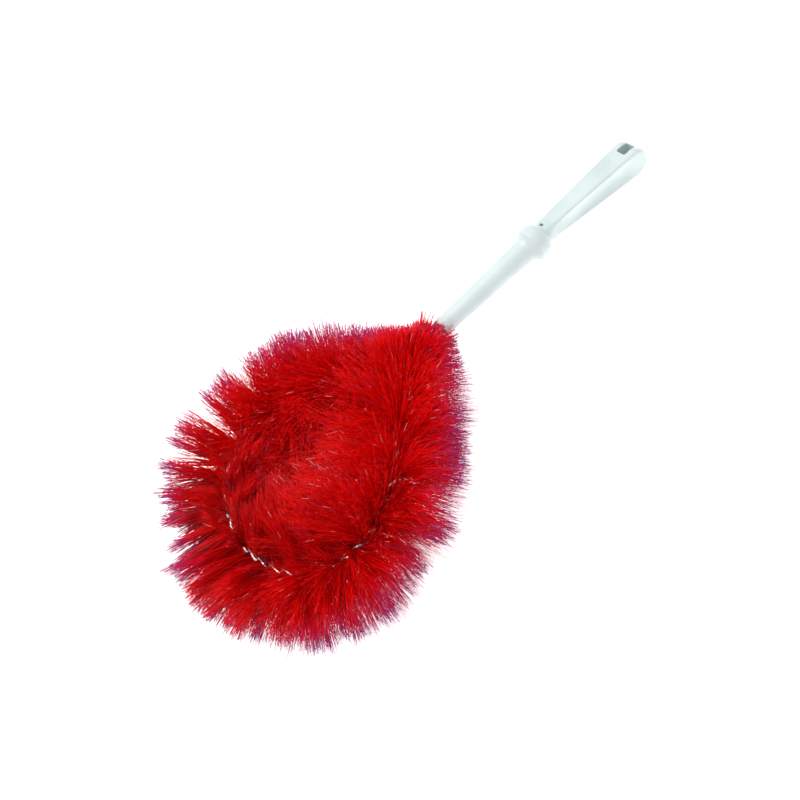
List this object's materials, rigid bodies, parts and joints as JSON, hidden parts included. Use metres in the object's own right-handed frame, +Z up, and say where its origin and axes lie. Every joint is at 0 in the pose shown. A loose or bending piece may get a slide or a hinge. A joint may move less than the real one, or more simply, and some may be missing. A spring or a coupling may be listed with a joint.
{
  "type": "twisted-wire loop brush",
  "caption": "Round brush: a ring of long bristles in a loop of twisted wire, on a slim moulded handle with a collar, a flared grip and a hang slot",
  "frame": {"origin": "on the resting plane z = 0, under the middle of the bounding box", "axes": "+X along the brush from the ring of bristles to the end of the grip, +Y across the ring, +Z up from the surface the brush lies on"},
  "size_m": [0.3958, 0.208, 0.088],
  "materials": {
    "handle_plastic": "satin moulded plastic, near white with a cool tint",
    "wire_steel": "bright galvanised wire",
    "bristle_fibre": "fine synthetic filament, red with magenta to purple tips"
  },
  "bodies": {
    "root": {"handle": "handle_plastic", "wire_strand_a": "wire_steel", "wire_strand_b": "wire_steel", "bristles_neck_1": "bristle_fibre", "bristles_neck_2": "bristle_fibre", "bristles_01": "bristle_fibre", "bristles_02": "bristle_fibre", "bristles_03": "bristle_fibre", "bristles_04": "bristle_fibre", "bristles_05": "bristle_fibre", "bristles_06": "bristle_fibre", "bristles_07": "bristle_fibre", "bristles_08": "bristle_fibre", "bristles_09": "bristle_fibre", "bristles_10": "bristle_fibre", "bristles_11": "bristle_fibre", "bristles_12": "bristle_fibre", "bristles_13": "bristle_fibre", "bristles_14": "bristle_fibre", "bristles_15": "bristle_fibre", "bristles_16": "bristle_fibre", "bristles_17": "bristle_fibre", "bristles_18": "bristle_fibre", "bristles_19": "bristle_fibre", "bristles_20": "bristle_fibre"}
  },
  "joints": []
}
